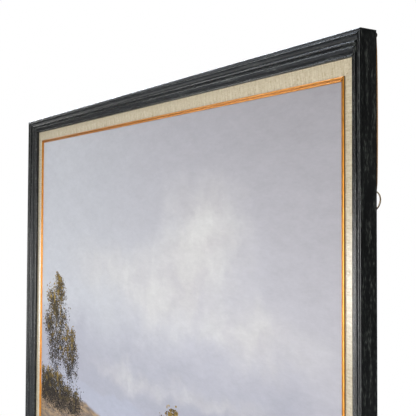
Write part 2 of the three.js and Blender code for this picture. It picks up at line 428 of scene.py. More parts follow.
def place_piece(
    shape: bmesh.types.BMesh,
    name: str,
    material: bpy.types.Material,
    replaces: tuple[str, ...] = (),
    body: str = "root",
    sharp_deg: float = 35.0,
) -> bpy.types.Object:
    """Turns a finished bmesh into a piece that rides on a body.

    Args:
        shape: The mesh in the row's frame. It is freed.
        name: The piece's name.
        material: What it is finished in.
        replaces: The construction nodes that it stands for.
        body: The body that it moves with.
        sharp_deg: Edges that turn more than this stay crisp.

    Returns:
        The new object.
    """
    bmesh.ops.recalc_face_normals(shape, faces=shape.faces[:])
    mesh = bpy.data.meshes.new(name)
    shape.to_mesh(mesh)
    shape.free()
    mesh.shade_smooth()
    mesh.set_sharp_from_angle(angle=math.radians(sharp_deg))
    mesh.materials.append(material)
    piece = bpy.data.objects.new(name, mesh)
    bpy.context.scene.collection.objects.link(piece)
    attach(piece, body)
    if replaces:
        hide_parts(*replaces)
    log.info("%s: %d faces", name, len(mesh.polygons))
    return piece


class Side(Enum):
    """The four sides, each with its turn about Y from the left side, in quarter turns."""

    LEFT = 0
    TOP = 1
    RIGHT = 2
    BOTTOM = -1

    @property
    def label(self) -> str:
        """The side's name in node names."""
        return self.name.lower()

    @property
    def upright(self) -> bool:
        """Whether the length on this side stands upright."""
        return self in (Side.LEFT, Side.RIGHT)


@dataclass
class Section:
    """The outline of a length, in millimetres.

    A point holds the inset from the frame's outer face, the depth from its front, and how much it is buffed,
    from 0 to 1. The hold is how far a holding point stands from the end of a flat.
    """

    points: list[tuple[float, float, float]] = field(default_factory=list)
    hold: float = 0.15

    def to(self, inset: float, depth: float) -> "Section":
        """Adds a corner, or the first point.

        A flat gets a holding point near each end, so that it shades flat.

        Args:
            inset: The corner's inset.
            depth: The corner's depth.

        Returns:
            The section itself.
        """
        if self.points:
            start = self.points[-1]
            far = math.dist(start[:2], (inset, depth))
            for share in (self.hold / far, 1 - self.hold / far) if far > 4 * self.hold else ():
                held = [a + (b - a) * share for a, b in zip(start[:2], (inset, depth))]
                self.points.append((held[0], held[1], 0.0))
        self.points.append((inset, depth, 0.0))
        return self

    def curve(self, inset: float, depth: float, end: tuple[float, float], steps: int = 14) -> "Section":
        """Adds a curve that is pulled towards a point.

        Args:
            inset: The inset of the point that pulls it.
            depth: The depth of that point.
            end: Where it ends.
            steps: How many straight steps it takes.

        Returns:
            The section itself.
        """
        first = self.points[-1]
        for step in range(1, steps + 1):
            t = step / steps
            rows = zip(first[:2], (inset, depth), end)
            pull = [(1 - t) ** 2 * a + 2 * t * (1 - t) * b + t**2 * c for a, b, c in rows]
            self.points.append((pull[0], pull[1], 0.0))
        return self

    def arc(
        self, inset: float, depth: float, radius: float, start: float, end: float, steps: int = 16
    ) -> "Section":
        """Adds an arc round a centre.

        Args:
            inset: The centre's inset.
            depth: The centre's depth.
            radius: Its radius.
            start: The angle it starts at, in degrees. 180 points to the outer face and 270 to the front.
            end: The angle it ends at.
            steps: How many straight steps it takes.

        Returns:
            The section itself.
        """
        for step in range(steps + 1):
            angle = math.radians(start + (end - start) * step / steps)
            buffed = 1.0 if 0 < step < steps else 0.0
            self.points.append((inset + radius * math.cos(angle), depth + radius * math.sin(angle), buffed))
        return self

    def reed(
        self, inset: float, crest: float, radius: float, end: float = 360.0, start: float = 180.0
    ) -> "Section":
        """Adds a reed's round, from its outer side over the crest.

        Args:
            inset: The crest's inset.
            crest: The crest's depth from the front.
            radius: The reed's radius.
            end: The angle it ends at, in degrees.
            start: The angle it starts at.

        Returns:
            The section itself.
        """
        return self.arc(inset, crest + radius, radius, start, end)


@dataclass
class MitredFrame:
    """Four lengths of one section, mitred at the corners."""

    finish: Finish
    slot: str
    node_prefix: str
    joint: float = 0.09 * MM
    arris: float = 0.14 * MM
    hold: float = 1.2 * MM
    wall_finish: Finish | None = None
    wall_facing: float = 0.985

    def section(self) -> Section:
        """The outline of the lengths."""
        raise NotImplementedError

    def length(self, outer_length: float) -> bmesh.types.BMesh:
        """Extrudes the section and cuts both ends to a mitre.

        Args:
            outer_length: The length along the outer face.

        Returns:
            The length, with X as inset, Y as depth and Z along it, centred on Z.
        """
        shape = bmesh.new()
        around = shape.verts.layers.float.new("around")
        rubbed = shape.verts.layers.float.new("buffed")
        verts, travelled, last = [], 0.0, None
        for inset, depth, buffed in self.section().points:
            here = Vector((inset * MM, depth * MM, -outer_length / 2))
            travelled += (here - last).length if last else 0.0
            last = here
            vert = shape.verts.new(here)
            vert[around], vert[rubbed] = travelled, buffed
            verts.append(vert)
        bmesh.ops.remove_doubles(shape, verts=verts, dist=0.002 * MM)
        loop = shape.faces.new(shape.verts[:])
        grown = bmesh.ops.extrude_face_region(shape, geom=[loop])["geom"]
        far = [g for g in grown if isinstance(g, bmesh.types.BMVert)]
        bmesh.ops.translate(shape, verts=far, vec=(0, 0, outer_length))
        for end in (-1, 1):
            # A ring just short of the mitre holds the faces flat up to the softened edge.
            for short_by, clear in ((self.joint + self.hold, False), (self.joint, True)):
                cut = bmesh.ops.bisect_plane(
                    shape,
                    geom=shape.verts[:] + shape.edges[:] + shape.faces[:],
                    plane_co=(0, 0, end * (outer_length / 2 - short_by)),
                    plane_no=(1, 0, end),
                    clear_outer=clear,
                )["geom_cut"]
            rim = [g for g in cut if isinstance(g, bmesh.types.BMEdge)]
            bmesh.ops.holes_fill(shape, edges=rim, sides=0)
            rim = [e for e in rim if e.is_valid]
            bmesh.ops.bevel(
                shape,
                geom=rim,
                offset=self.arris,
                offset_type="OFFSET",
                segments=2,
                profile=0.5,
                affect="EDGES",
                clamp_overlap=True,
                material=-1,
            )
        self.lay_pattern(shape, around)
        return shape

    def lay_pattern(self, shape: bmesh.types.BMesh, around: bmesh.types.BMLayerItem) -> None:
        """Writes the UV map: U round the section and V along the length, both in metres.

        Args:
            shape: The length.
            around: The vertex layer that holds the distance round the section.
        """
        uv = shape.loops.layers.uv.new("length")
        for face in shape.faces:
            for loop in face.loops:
                loop[uv].uv = (loop.vert[around], loop.vert.co.z)

    def build(self) -> list[bpy.types.Object]:
        """Makes the four lengths and puts each on its side.

        Returns:
            The four pieces.
        """
        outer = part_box("frame_left")
        half_width, half_height, front = -outer[0][0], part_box("frame_top")[1][2], outer[0][1]
        material = self.finish.material()
        made = []
        for number, side in enumerate(Side):
            half, run = (half_width, half_height) if side.upright else (half_height, half_width)
            shape = self.length(2 * run)
            uv = shape.loops.layers.uv.active
            for face in shape.faces:
                for loop in face.loops:
                    loop[uv].uv += Vector((0.37 * number, 3.1 * number))
            bmesh.ops.translate(shape, verts=shape.verts[:], vec=(-half, front, 0))
            turn = Matrix.Rotation(side.value * math.pi / 2, 4, "Y")
            bmesh.ops.transform(shape, matrix=turn, verts=shape.verts[:])
            node = f"{self.node_prefix}_{side.label}"
            made.append(place_piece(shape, f"{self.finish.name}_{side.label}", material, (node,)))
        # Faces that look outward are painted dark, as shade.
        if self.wall_finish:
            self.bare_walls(made)
        return made

    def bare_walls(self, lengths: list[bpy.types.Object]) -> None:
        """Paints shade on the outer walls of the lengths: the faces that look outward get a dark finish.

        Args:
            lengths: The four pieces, in the order of Side.
        """
        material = self.wall_finish.material()
        for side, piece in zip(Side, lengths):
            outwards = Matrix.Rotation(side.value * math.pi / 2, 3, "Y") @ Vector((-1, 0, 0))
            piece.data.materials.append(material)
            for face in piece.data.polygons:
                if face.normal.dot(outwards) > self.wall_facing:
                    face.material_index = 1


@dataclass
class Moulding(MitredFrame):
    """The reeded black moulding. Sizes are the section's, in millimetres."""

    finish: Finish = StainedOak()
    slot: str = "black_wood"
    node_prefix: str = "frame"
    width_mm: float = 31.7
    depth_mm: float = 29.6
    rabbet_inset_mm: float = 24.2
    rabbet_depth_mm: float = 20.3
    arris_mm: float = 0.8

    def section(self) -> Section:
        """Edge flat, outer reed, scoop, two reeds, slope, sight reed and the rabbet behind them.

        Returns:
            The closed outline.
        """
        outline = Section().to(0, self.depth_mm)
        outline.arc(self.arris_mm, self.arris_mm, self.arris_mm, 180, 270, steps=6)
        outline.curve(2.5, 1.3, (4.2, 0.4), steps=8).reed(5.6, 0.6, 1.0)
        outline.curve(8.0, 6.8, (13.4, 6.0), steps=24).reed(15.1, 4.3, 1.7)
        outline.curve(18.2, 10.4, (19.6, 9.4)).reed(21.2, 7.8, 1.6, end=315)
        outline.to(25.4, 11.4).curve(26.6, 15.9, (28.5, 15.5)).reed(30.1, 13.9, 1.6)
        outline.to(self.width_mm, self.rabbet_depth_mm).to(self.rabbet_inset_mm, self.rabbet_depth_mm)
        return outline.to(self.rabbet_inset_mm, self.depth_mm)


@dataclass
class LinenLiner(MitredFrame):
    """The flat liner in its linen, tucked under the moulding's lip and sloping down to the picture."""

    finish: Finish = SlubLinen()
    slot: str = "linen"
    node_prefix: str = "liner"
    arris: float = 0.3 * MM
    back_mm: float = 29.3
    outer_mm: float = 24.5
    lip_mm: float = 31.7
    face_mm: float = 20.6
    edge_inset_mm: float = 54.3
    edge_depth_mm: float = 23.2
    bend_mm: float = 0.6

    def section(self) -> Section:
        """Tongue, sloping face, soft bend and inner wall.

        Returns:
            The closed outline.
        """
        bend, edge, low = self.bend_mm, self.edge_inset_mm, self.edge_depth_mm
        outline = Section().to(self.outer_mm, self.back_mm).to(self.outer_mm, self.face_mm)
        outline.to(self.lip_mm, self.face_mm).to(edge - bend, low)
        return outline.curve(edge, low, (edge, low + bend), steps=6).to(edge, self.back_mm)


@dataclass
class GiltFillet(MitredFrame):
    """The narrow gold fillet: two beads and a groove over a lip that laps the canvas."""

    finish: Finish = GoldLeaf()
    slot: str = "gilding"
    node_prefix: str = "fillet"
    # Painted shade: the fillet's outward wall gets a dark brown finish.
    wall_finish: Finish = WALL_SHADE
    arris: float = 0.1 * MM
    back_mm: float = 29.3
    outer_mm: float = 54.6
    inner_mm: float = 61.9
    foot_mm: float = 58.2
    outer_bead: tuple[float, float, float] = (56.3, 20.4, 1.7)
    inner_bead: tuple[float, float, float] = (60.3, 22.3, 1.6)
    inner_bead_start: float = 215.0
    lip_mm: float = 24.0

    def section(self) -> Section:
        """Outer wall and bead, groove, lower inner bead, lip and foot.

        Returns:
            The closed outline.
        """
        outline = Section().to(self.outer_mm, self.back_mm).reed(*self.outer_bead)
        outline.reed(*self.inner_bead, start=self.inner_bead_start).to(self.inner_mm, self.lip_mm)
        return outline.to(self.foot_mm, self.lip_mm).to(self.foot_mm, self.back_mm)


# ---------------------------------------------------------------- the painted picture


def soft_blob(
    tree: bpy.types.NodeTree,
    place: bpy.types.NodeSocket,
    centre: tuple[float, float],
    radii: tuple[float, float],
) -> bpy.types.NodeSocket:
    """A soft-edged oval: 1 at its middle and 0 at its rim.

    Args:
        tree: The node tree.
        place: The place on the picture, in millimetres.
        centre: The oval's middle, as X and Z.
        radii: Its half width and half height.

    Returns:
        The value socket.
    """
    middle = (centre[0], 0, centre[1])
    shifted = add(tree, "ShaderNodeVectorMath", {0: place, 1: middle}, operation="SUBTRACT")
    scaled = add(
        tree,
        "ShaderNodeVectorMath",
        {0: shifted.outputs[0], 1: (1 / radii[0], 0, 1 / radii[1])},
        operation="MULTIPLY",
    )
    far = add(tree, "ShaderNodeVectorMath", {0: scaled.outputs[0]}, operation="LENGTH")
    near = add(
        tree,
        "ShaderNodeMapRange",
        {"Value": far.outputs["Value"], "From Min": 1.0, "From Max": 0.0},
        interpolation_type="SMOOTHSTEP",
    )
    return near.outputs[0]


@dataclass(frozen=True)
class OilLandscape(Finish):
    """Oil on fine canvas: a broad cloudy sky over low hills and a dry field, brushed wet in wet."""

    name: str = "oil_on_canvas"
    roughness: float = 0.5
    weave: float = 1.6 * MM
    wander_mm: float = 150.0
    wander_reach_mm: tuple = (230, 0, 170)
    half_width_mm: float = 600.0
    haze_from_to_mm: tuple = (60.0, -90.0)
    veil_from_to_mm: tuple = (60.0, 420.0)
    billow_mm: float = 90.0
    hill_line_mm: float = -150.0
    field_line_mm: float = -205.0
    roll_mm: float = 160.0
    roll_height_mm: float = -70.0
    edge_mm: tuple = (30.0, 42.0)
    grass_mm: tuple = (42, 10)
    strokes: tuple = ((35, 70, 26, 0.05), (-50, 24, 9, 0.045), (80, 9, 3.5, 0.03))
    clouds: tuple = (
        ((230, 240), (230, 170), 0.7),
        ((60, 110), (440, 160), 0.7),
        ((-260, 150), (260, 110), 0.4),
        ((430, 60), (240, 90), 0.6),
        ((-60, -80), (420, 50), 0.5),
        ((300, -60), (260, 40), 0.5),
    )

    def pattern(self, tree: bpy.types.NodeTree, shader: bpy.types.Node) -> None:
        """Lays in sky, clouds, hills and field, then brushwork and weave.

        Args:
            tree: The material's node tree.
            shader: Its Principled shader.
        """
        metres = add(tree, "ShaderNodeTexCoord").outputs["Object"]
        place = add(tree, "ShaderNodeVectorMath", {0: metres, "Scale": 1000.0}, operation="SCALE").outputs[0]
        smeared = self.smear(tree, place)
        sky = self.sky(tree, smeared)
        land = self.land(tree, place, sky)
        brushed = self.brushwork(tree, place, land)
        tree.links.new(brushed, shader.inputs["Base Color"])
        self.surface(tree, shader, metres)

    def smear(self, tree: bpy.types.NodeTree, place: bpy.types.NodeSocket) -> bpy.types.NodeSocket:
        """Pushes the place about as a loaded brush would, for soft broken edges.

        Args:
            tree: The node tree.
            place: The place on the picture, in millimetres.

        Returns:
            The vector socket.
        """
        wander = add(
            tree,
            "ShaderNodeTexNoise",
            {"Vector": place, "Scale": 1 / self.wander_mm, "Detail": 6.0, "Roughness": 0.6},
        )
        centred = add(
            tree,
            "ShaderNodeVectorMath",
            {0: wander.outputs["Color"], 1: (0.5, 0.5, 0.5)},
            operation="SUBTRACT",
        )
        return add(
            tree,
            "ShaderNodeVectorMath",
            {0: centred.outputs[0], 1: self.wander_reach_mm, 2: place},
            operation="MULTIPLY_ADD",
        ).outputs[0]

    def sky(self, tree: bpy.types.NodeTree, smeared: bpy.types.NodeSocket) -> bpy.types.NodeSocket:
        """Grey-lavender sky, lighter to the left, with cream clouds.

        Args:
            tree: The node tree.
            smeared: The place on the picture, pushed about.

        Returns:
            The colour socket.
        """
        parts = add(tree, "ShaderNodeSeparateXYZ", {0: smeared})
        across = add(
            tree,
            "ShaderNodeMapRange",
            {"Value": parts.outputs["X"], "From Min": -self.half_width_mm, "From Max": self.half_width_mm},
        )
        air = ramp(tree, across.outputs[0], {0.0: "c2c2c5", 0.35: "bdbdc1", 0.7: "bebcc2", 1.0: "bab7bc"})
        low = add(
            tree,
            "ShaderNodeMapRange",
            {
                "Value": parts.outputs["Z"],
                "From Min": self.haze_from_to_mm[0],
                "From Max": self.haze_from_to_mm[1],
            },
            interpolation_type="SMOOTHSTEP",
        )
        haze = self.over(tree, low.outputs[0], air, linear("a5a4ae"))
        high = add(
            tree,
            "ShaderNodeMapRange",
            {
                "Value": parts.outputs["Z"],
                "From Min": self.veil_from_to_mm[0],
                "From Max": self.veil_from_to_mm[1],
            },
        )
        aloft = add(tree, "ShaderNodeMath", {0: high.outputs[0], 1: across.outputs[0]}, operation="MULTIPLY")
        veil = self.over(tree, aloft.outputs[0], haze, linear("a39fa2"))
        cover = None
        for centre, radii, weight in self.clouds:
            blob = soft_blob(tree, smeared, centre, radii)
            cover = add(
                tree,
                "ShaderNodeMath",
                {0: blob, 1: weight, 2: cover.outputs[0] if cover else 0.0},
                operation="MULTIPLY_ADD",
            )
        billows = add(
            tree,
            "ShaderNodeTexNoise",
            {"Vector": smeared, "Scale": 1 / self.billow_mm, "Detail": 5.0, "Roughness": 0.55},
        )
        broken = add(
            tree,
            "ShaderNodeMath",
            {0: cover.outputs[0], 1: billows.outputs["Fac"]},
            operation="MULTIPLY",
        )
        lit = add(
            tree,
            "ShaderNodeMapRange",
            {"Value": broken.outputs[0], "From Min": 0.0, "From Max": 0.55},
            interpolation_type="SMOOTHSTEP",
        )
        cloud = ramp(tree, billows.outputs["Fac"], {0.3: "cbc3bd", 0.5: "cfcbc6", 0.7: "d3d1cd"})
        return self.over(tree, lit.outputs[0], veil, cloud)

    def over(
        self,
        tree: bpy.types.NodeTree,
        share: bpy.types.NodeSocket,
        under: bpy.types.NodeSocket,
        paint: bpy.types.NodeSocket | tuple[float, float, float, float],
    ) -> bpy.types.NodeSocket:
        """Lays one paint over another.

        Args:
            tree: The node tree.
            share: How much of the new paint covers, from 0 to 1.
            under: The colour below.
            paint: The colour laid over it.

        Returns:
            The colour socket.
        """
        return add(tree, "ShaderNodeMix", {0: share, 6: under, 7: paint}, data_type="RGBA").outputs[2]

    def land(
        self, tree: bpy.types.NodeTree, place: bpy.types.NodeSocket, sky: bpy.types.NodeSocket
    ) -> bpy.types.NodeSocket:
        """Hills in the haze and the dry field below them.

        Args:
            tree: The node tree.
            place: The place on the picture.
            sky: The sky's colour.

        Returns:
            The colour socket.
        """
        roll = add(tree, "ShaderNodeTexNoise", {"Vector": place, "Scale": 1 / self.roll_mm, "Detail": 3.0})
        height = add(tree, "ShaderNodeSeparateXYZ", {0: place}).outputs["Z"]
        rolled = add(
            tree,
            "ShaderNodeMath",
            {0: roll.outputs["Fac"], 1: self.roll_height_mm, 2: height},
            operation="MULTIPLY_ADD",
        )
        strokes = add(
            tree,
            "ShaderNodeMapping",
            {"Vector": place, "Scale": (1 / self.grass_mm[0], 1.0, 1 / self.grass_mm[1])},
        )
        grass = add(
            tree,
            "ShaderNodeTexNoise",
            {"Vector": strokes.outputs[0], "Scale": 1.0, "Detail": 5.0, "Roughness": 0.65},
        )
        field_colour = ramp(
            tree,
            grass.outputs["Fac"],
            {0.3: "4a3a2c", 0.45: "755c41", 0.58: "98794f", 0.72: "b3946a"},
        )
        behind = sky
        for line, colour in ((self.hill_line_mm, linear("a9aab6")), (self.field_line_mm, field_colour)):
            below = add(
                tree,
                "ShaderNodeMapRange",
                {
                    "Value": rolled.outputs[0],
                    "From Min": line - self.edge_mm[0],
                    "From Max": line - self.edge_mm[1],
                },
                interpolation_type="SMOOTHSTEP",
            )
            behind = self.over(tree, below.outputs[0], behind, colour)
        return behind

    def brushwork(
        self, tree: bpy.types.NodeTree, place: bpy.types.NodeSocket, colour: bpy.types.NodeSocket
    ) -> bpy.types.NodeSocket:
        """Varies the colour by short overlapping strokes.

        Args:
            tree: The node tree.
            place: The place on the picture.
            colour: The colour under the strokes.

        Returns:
            The colour socket.
        """
        for degrees, wide, tall, swing in self.strokes:
            slanted = add(
                tree,
                "ShaderNodeMapping",
                {
                    "Vector": place,
                    "Rotation": (0, math.radians(degrees), 0),
                    "Scale": (1 / wide, 1.0, 1 / tall),
                },
            )
            strokes = add(
                tree,
                "ShaderNodeTexNoise",
                {"Vector": slanted.outputs[0], "Scale": 1.0, "Detail": 6.0, "Roughness": 0.65},
            )
            shade = add(
                tree,
                "ShaderNodeMapRange",
                {
                    "Value": strokes.outputs["Fac"],
                    "From Min": 0.3,
                    "From Max": 0.7,
                    "To Min": 1 - swing,
                    "To Max": 1 + swing,
                },
            )
            colour = add(
                tree,
                "ShaderNodeVectorMath",
                {0: colour, "Scale": shade.outputs[0]},
                operation="SCALE",
            ).outputs[0]
        return colour

    def surface(self, tree: bpy.types.NodeTree, shader: bpy.types.Node, metres: bpy.types.NodeSocket) -> None:
        """Raises the weave.

        Args:
            tree: The node tree.
            shader: The Principled shader.
            metres: The place on the picture, in metres.
        """
        threads = None
        for across in ((1, 1, 0.12), (0.12, 1, 1)):
            mapped = add(tree, "ShaderNodeMapping", {"Vector": metres, "Scale": across})
            yarn = add(
                tree,
                "ShaderNodeTexNoise",
                {"Vector": mapped.outputs[0], "Scale": 1 / self.weave, "Detail": 2.0},
            )
            threads = add(
                tree,
                "ShaderNodeMath",
                {0: yarn.outputs["Fac"], 1: threads.outputs[0] if threads else 0.0},
                operation="ADD",
            )
        bump(tree, shader, threads.outputs[0], 0.12 * MM)


@dataclass(frozen=True)
class FoliagePaint(Finish):
    """Thick oil dabs, from umber shadow to ochre light, each dab in its own tone."""

    name: str = "foliage_paint"
    roughness: float = 0.75

    def pattern(self, tree: bpy.types.NodeTree, shader: bpy.types.Node) -> None:
        """Reads each dab's tone.

        Args:
            tree: The material's node tree.
            shader: Its Principled shader.
        """
        tone = add(tree, "ShaderNodeAttribute", attribute_name="tone")
        colour = ramp(
            tree,
            tone.outputs["Fac"],
            {0.0: "1c140f", 0.25: "2f2619", 0.45: "4c4026", 0.65: "7d6630", 0.85: "aa8d46", 1.0: "c2a45a"},
        )
        tree.links.new(colour, shader.inputs["Base Color"])
        shader.inputs["Specular IOR Level"].default_value = 0.2


@dataclass
class Tree:
    """One painted tree or bush: its foot, height and greatest half width on the picture, in millimetres."""

    x: float
    foot: float
    height: float
    spread: float
    bare: float = 0.22
    lean: float = 0.0
    puffs: int = 22
    light: float = 0.0


@dataclass
class Puff:
    """One cluster of leaves on a tree: its middle, its radius and how high it sits, from 0 to 1."""

    x: float
    z: float
    radius: float
    level: float


@dataclass
class PaintedTrees:
    """A group of trees in small thick dabs of paint on the canvas."""

    name: str
    seed: int
    trees: list[Tree]
    dab_mm: tuple[float, float] = (3.8, 1.9)
    coverage: float = 1.35
    window_mm: tuple[float, float] = (601.0, 448.0)
    dab_height_mm: float = 0.3
    tone_lift_mm: float = 0.25
    base_tone: float = 0.28
    light_from_above: float = 0.2
    light_from_left: float = 0.12
    light_on_crown: float = 0.5
    shade_below: float = 0.4
    drift: float = 0.4
    drift_mm: float = 14
    flicker: float = 0.09
    limbs: int = 5
    trunk_mm: float = 2.6
    limb_mm: float = 1.3
    stroke_mm: float = 3.6
    stroke_step_mm: float = 4
    full_grown_mm: float = 250

    def puffs(self, tree: Tree, dice: random.Random) -> list[Puff]:
        """Hangs clusters of leaves on the limbs, uneven enough to let sky through between them.

        Args:
            tree: The tree.
            dice: The source of chance.

        Returns:
            The clusters, from the foot up.
        """
        made = []
        for number in range(tree.puffs):
            level = (number + dice.random()) / tree.puffs
            girth = tree.spread * math.sin(math.pi * (0.12 + 0.8 * level)) ** 0.8
            out = dice.uniform(-1, 1) * girth * 0.8
            lift = tree.height * (tree.bare + (1 - tree.bare) * 0.92 * level)
            radius = girth * dice.uniform(0.24, 0.5) + 0.05 * tree.spread
            made.append(Puff(tree.x + tree.lean * level + out, tree.foot + lift, radius, level))
        return made

    def leaves(self, tree: Tree, dice: random.Random) -> list[tuple[Matrix, float]]:
        """Lays each cluster's dabs, thinning out past its rim.

        Args:
            tree: The tree.
            dice: The source of chance.

        Returns:
            A matrix for the dab template and a tone from 0 to 1, for each dab.
        """
        made = []
        for puff in sorted(self.puffs(tree, dice), key=lambda p: -p.level):
            count = int(self.coverage * puff.radius**2 / (self.dab_mm[0] * self.dab_mm[1]))
            for _ in range(count):
                across, up = dice.gauss(0, 0.5), dice.gauss(0, 0.42)
                x, z = puff.x + puff.radius * across, puff.z + puff.radius * up
                drift = noise.noise(Vector((x, z, 9.0 * self.seed)) / self.drift_mm)
                crown = self.light_on_crown * (puff.level - self.shade_below)
                facing = self.light_from_above * up - self.light_from_left * across
                tone = self.base_tone + tree.light + facing + crown + self.drift * drift
                tone = min(1.0, max(0.0, tone + dice.gauss(0, self.flicker)))
                size = dice.uniform(0.55, 1.35)
                turn = dice.gauss(0.0, 0.8)
                made.append(self.dab(x, z, size * self.dab_mm[0], size * self.dab_mm[1], turn, tone))
        return [dab for dab in made if dab]

    def wood(self, tree: Tree, dice: random.Random) -> list[tuple[Matrix, float]]:
        """Draws the trunk and a few limbs as dark tapering strokes.

        Args:
            tree: The tree.
            dice: The source of chance.

        Returns:
            A matrix for the dab template and a tone, for each dab.
        """
        made = []
        limbs = [(0.0, 0.0, 0.85, self.trunk_mm)]
        for _ in range(self.limbs):
            start = dice.uniform(0.25, 0.6)
            limbs.append((dice.uniform(-0.6, 0.6), start, start + dice.uniform(0.15, 0.3), self.limb_mm))
        for swing, low, high, girth in limbs:
            steps = max(3, int(tree.height * (high - low) / self.stroke_step_mm))
            for step in range(steps):
                level = low + (high - low) * step / steps
                out = swing * tree.spread * (level - low) / (high - low)
                sway = 0.05 * tree.spread * noise.noise(Vector((level * 9, tree.x, swing)))
                x = tree.x + tree.lean * level + out + sway
                width = girth * tree.height / self.full_grown_mm * (1 - 0.6 * step / steps)
                tone = dice.uniform(0.0, 0.2)
                z = tree.foot + tree.height * level
                made.append(self.dab(x, z, width, self.stroke_mm, 0.25 * swing, tone))
        return [dab for dab in made if dab]

    def dab(
        self, x: float, z: float, across: float, up: float, turn: float, tone: float
    ) -> tuple[Matrix, float] | None:
        """Lays the template on the canvas as one dab, unless the fillet would cover it.

        Args:
            x: Across the picture, in millimetres.
            z: Up the picture, in millimetres.
            across: The dab's half width, in millimetres.
            up: Its half height, in millimetres.
            turn: How far it is turned on the canvas, in radians.
            tone: Its tone, from 0 to 1.

        Returns:
            The template's matrix and the tone, or None.
        """
        if abs(x) > self.window_mm[0] or abs(z) > self.window_mm[1]:
            return None
        shape = Matrix.Diagonal((across, self.dab_height_mm, up, 1000.0)) * MM
        place = Matrix.Translation((x * MM, CANVAS_FACE - self.tone_lift_mm * MM * tone, z * MM))
        return place @ Matrix.Rotation(turn, 4, "Y") @ shape, tone

    def build(self, material: bpy.types.Material) -> bpy.types.Object:
        """Repeats one small dab at every place.

        Args:
            material: The foliage paint.

        Returns:
            The piece.
        """
        template = bmesh.new()
        bmesh.ops.create_cone(template, cap_ends=True, segments=6, radius1=1.0, radius2=0.0, depth=1.6)
        bmesh.ops.rotate(template, verts=template.verts[:], matrix=Matrix.Rotation(math.pi / 2, 3, "X"))
        bmesh.ops.triangulate(template, faces=template.faces[:])
        corners = np.array([[*v.co, 1.0] for v in template.verts])
        faces = np.array([[v.index for v in f.verts] for f in template.faces])
        template.free()
        dice = random.Random(self.seed)
        laid = [dab for tree in self.trees for dab in self.wood(tree, dice) + self.leaves(tree, dice)]
        points = np.concatenate([corners @ np.array(matrix).T[:, :3] for matrix, _ in laid])
        index = np.concatenate([faces + len(corners) * i for i in range(len(laid))])
        mesh = bpy.data.meshes.new(self.name)
        mesh.from_pydata(points.tolist(), [], index.tolist())
        tone = mesh.attributes.new("tone", "FLOAT", "POINT")
        tone.data.foreach_set("value", np.repeat([t for _, t in laid], len(corners)).astype(np.float32))
        mesh.shade_smooth()
        mesh.materials.append(material)
        piece = bpy.data.objects.new(self.name, mesh)
        bpy.context.scene.collection.objects.link(piece)
        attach(piece, "root")
        log.info("%s: %d dabs", self.name, len(laid))
        return piece


@dataclass
class Picture:
    """The canvas on its board, and the trees on the canvas."""

    paint: Finish = OilLandscape()
    leaves: Finish = FoliagePaint()

    def groups(self) -> list[PaintedTrees]:
        """The tree groups, laid out for this picture.

        Returns:
            The groups, from left to right.
        """
        return [
            PaintedTrees(
                "trees_left",
                seed=11,
                trees=[
                    Tree(-505, -235, 355, 74, bare=0.24, lean=14, puffs=40),
                    Tree(-395, -225, 205, 60, bare=0.3, lean=-10, puffs=26),
                    Tree(-575, -245, 90, 70, bare=0.0, puffs=20, light=-0.12),
                    Tree(-490, -245, 85, 92, bare=0.0, puffs=26, light=-0.14),
                    Tree(-400, -240, 60, 70, bare=0.0, puffs=18, light=-0.12),
                ],
            ),
            PaintedTrees(
                "trees_middle",
                seed=23,
                trees=[
                    Tree(120, -255, 150, 52, bare=0.25, lean=6, puffs=24),
                    Tree(60, -262, 70, 40, bare=0.05, puffs=14, light=-0.06),
                    Tree(165, -262, 55, 50, bare=0.0, puffs=14, light=-0.1),
                ],
            ),
            PaintedTrees(
                "trees_right",
                seed=37,
                trees=[
                    Tree(445, -300, 215, 96, bare=0.28, puffs=40),
                    Tree(545, -300, 165, 74, bare=0.2, lean=8, puffs=28),
                    Tree(380, -300, 90, 60, bare=0.05, puffs=18, light=-0.05),
                ],
            ),
        ]

    def build(self) -> None:
        """Dresses the canvas and its board and lays the trees on."""
        for node, material in (("canvas", self.paint.material()), ("board", HARDBOARD.material())):
            dress_node(node, material)
        leaves = self.leaves.material()
        for group in self.groups():
            group.build(leaves)


def dress_node(node: str, material: bpy.types.Material) -> None:
    """Gives a construction node that stays its better material.

    Args:
        node: The node's name.
        material: Its finish.
    """
    slots = frame["nodes"][node].material_slots
    for item in slots:
        item.material = material
    log.info("%s: dressed in %s", node, material.name)


# ---------------------------------------------------------------- the back


